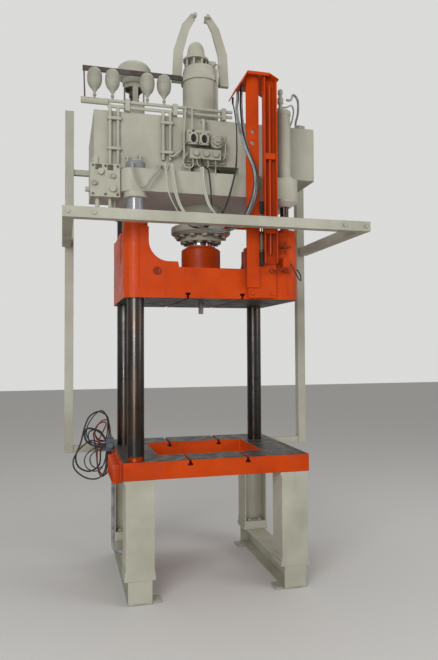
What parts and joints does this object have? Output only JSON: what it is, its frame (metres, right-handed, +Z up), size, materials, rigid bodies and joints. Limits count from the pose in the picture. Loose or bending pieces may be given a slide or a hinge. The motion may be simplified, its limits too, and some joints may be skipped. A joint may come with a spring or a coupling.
{
  "type": "hydraulic press",
  "caption": "Upright hydraulic press: slotted bed on legs, a platen that slides on guide columns, and a crown with cylinder, oil tank, pump and pipework.",
  "frame": {"origin": "on the floor under the middle of the machine's footprint", "axes": "+Z up, -Y towards the front, where the operator stands, +X to the right"},
  "size_m": [1.954, 1.2302, 3.9531],
  "materials": {
    "orange_paint": "semi-gloss, scuffed",
    "cream_paint": "satin",
    "worn_steel": "dark and oily",
    "bright_steel": "polished",
    "bronze": "satin",
    "grey_hose": "matte",
    "black_rubber": "matte",
    "red_hose": "matte"
  },
  "bodies": {
    "frame": {"bed": "orange_paint", "column_front_left": "worn_steel", "column_back_left": "worn_steel", "column_back_right": "worn_steel", "stop_rod": "worn_steel", "top_rail": "worn_steel", "service_valve": "worn_steel", "cable_a": "grey_hose", "cable_b": "grey_hose", "cable_c": "grey_hose", "loop_hose": "grey_hose", "filter_hose": "grey_hose", "black_loop": "black_rubber", "red_loop": "red_hose", "accumulator_1": "cream_paint", "accumulator_2": "cream_paint", "accumulator_3": "cream_paint", "accumulator_4": "cream_paint", "bell_housing": "cream_paint", "crown": "cream_paint", "cylinder_body": "cream_paint", "cylinder_flange": "cream_paint", "cylinder_head": "cream_paint", "filter": "cream_paint", "gland_ring": "cream_paint", "guard_arm_left": "cream_paint", "guard_arm_right": "cream_paint", "guard_beam": "cream_paint", "guard_post_left": "cream_paint", "guard_post_right": "cream_paint", "header_pipes": "cream_paint", "leg_back_left": "cream_paint", "leg_back_right": "cream_paint", "leg_front_left": "cream_paint", "leg_front_right": "cream_paint", "manifold": "cream_paint", "pump_motor": "cream_paint", "runner_left": "cream_paint", "runner_right": "cream_paint", "side_valve": "cream_paint", "tank": "cream_paint", "yoke_band": "cream_paint", "yoke_bar_left": "cream_paint", "yoke_bar_right": "cream_paint"},
    "slide": {"slide": "orange_paint", "bush_front_left": "bronze", "bush_back_left": "bronze", "bush_back_right": "bronze", "ram": "bright_steel", "ram_ring": "orange_paint", "mast_foot": "orange_paint", "mast_blade": "orange_paint", "mast_channel": "orange_paint", "mast_hood": "orange_paint", "cam_rod": "orange_paint", "slide_switch": "orange_paint"},
    "knockout_pin": {"knockout_pin": "bright_steel"},
    "switch_lever": {"slide_switch_lever": "worn_steel"},
    "latch": {"latch": "worn_steel"},
    "pump_coupling": {"coupling": "worn_steel"}
  },
  "joints": [
    {"name": "slide_stroke", "type": "slide", "parent": "frame", "child": "slide", "axis": [0, 0, 1], "range_m": [-0.56, 0], "deforming": ["cable_a", "cable_b", "cable_c"]},
    {"name": "knockout_travel", "type": "slide", "parent": "slide", "child": "knockout_pin", "axis": [0, 0, 1], "range_m": [0, 0.045]},
    {"name": "switch_lever_turn", "type": "hinge", "parent": "slide", "child": "switch_lever", "pos_m": [0.444, -0.4773, 2.087], "axis": [0, 1, 0], "range_deg": [-25, 8], "stiffness_Nm_per_rad": 2},
    {"name": "latch_turn", "type": "hinge", "parent": "slide", "child": "latch", "pos_m": [0.44, -0.437, 2.235], "axis": [0, 1, 0], "range_deg": [-90, 0]},
    {"name": "pump_spin", "type": "hinge", "parent": "frame", "child": "pump_coupling", "pos_m": [-0.478, 0.15, 3.3], "axis": [0, 0, 1], "continuous": true}
  ]
}
